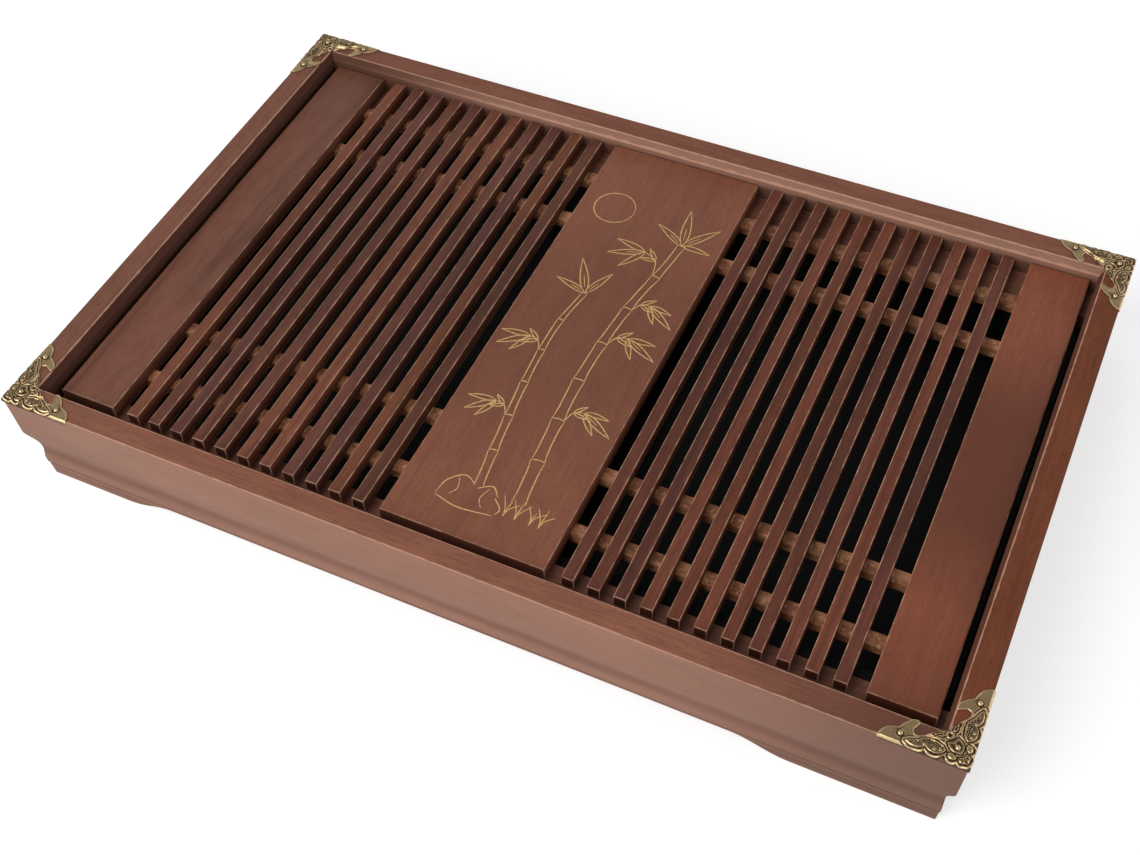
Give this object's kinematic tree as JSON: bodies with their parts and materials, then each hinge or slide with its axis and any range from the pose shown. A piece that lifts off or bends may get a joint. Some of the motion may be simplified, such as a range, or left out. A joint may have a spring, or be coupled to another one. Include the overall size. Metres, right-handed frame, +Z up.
{
  "type": "gongfu tea tray",
  "caption": "Slatted wooden tea tray: a lift-off grille over a black drip tray, in a moulded frame on bracket feet with brass butterfly corners.",
  "frame": {"origin": "centre of the tray's outline, on the surface that its feet stand on", "axes": "+X along the long side, +Y from the front to the back, +Z up"},
  "size_m": [0.5118, 0.328, 0.0702],
  "materials": {
    "rail_wood": "stained dark red-brown, satin lacquer",
    "plank_wood": "stained red-brown, satin lacquer, fine grain",
    "slat_wood": "stained red-brown, satin, paler worn edges",
    "batten_wood": "thin uneven stain, matt",
    "ledge_wood": "thin stain, matt",
    "base_plywood": "bare, matt",
    "drip_plastic": "black, satin",
    "antique_brass": "antiqued, dark in the recesses"
  },
  "bodies": {
    "tray_frame": {"rail_front": "rail_wood", "rail_back": "rail_wood", "rail_left": "rail_wood", "rail_right": "rail_wood", "ledge_front": "ledge_wood", "ledge_back": "ledge_wood", "base_board": "base_plywood", "bracket_front_left": "antique_brass", "bracket_front_right": "antique_brass", "bracket_back_left": "antique_brass", "bracket_back_right": "antique_brass", "bracket_nails": "antique_brass"},
    "drip_liner": {"drip_tray": "drip_plastic"},
    "lift_off_grille": {"plank_left": "plank_wood", "plank_centre": "plank_wood", "plank_right": "plank_wood", "slat_left_01": "slat_wood", "slat_left_02": "slat_wood", "slat_left_03": "slat_wood", "slat_left_04": "slat_wood", "slat_left_05": "slat_wood", "slat_left_06": "slat_wood", "slat_left_07": "slat_wood", "slat_left_08": "slat_wood", "slat_left_09": "slat_wood", "slat_left_10": "slat_wood", "slat_left_11": "slat_wood", "slat_right_01": "slat_wood", "slat_right_02": "slat_wood", "slat_right_03": "slat_wood", "slat_right_04": "slat_wood", "slat_right_05": "slat_wood", "slat_right_06": "slat_wood", "slat_right_07": "slat_wood", "slat_right_08": "slat_wood", "slat_right_09": "slat_wood", "slat_right_10": "slat_wood", "slat_right_11": "slat_wood", "batten_1": "batten_wood", "batten_2": "batten_wood", "batten_3": "batten_wood", "batten_4": "batten_wood"}
  },
  "joints": [
    {"name": "grille_lift", "type": "slide", "parent": "tray_frame", "child": "lift_off_grille", "axis": [0, 0, 1], "range_m": [0, 0.12]},
    {"name": "drip_tray_lift", "type": "slide", "parent": "tray_frame", "child": "drip_liner", "axis": [0, 0, 1], "range_m": [0, 0.06]}
  ],
  "couplings": [
    {"joint": "drip_tray_lift", "follows": "grille_lift", "ratio": 0.5}
  ]
}
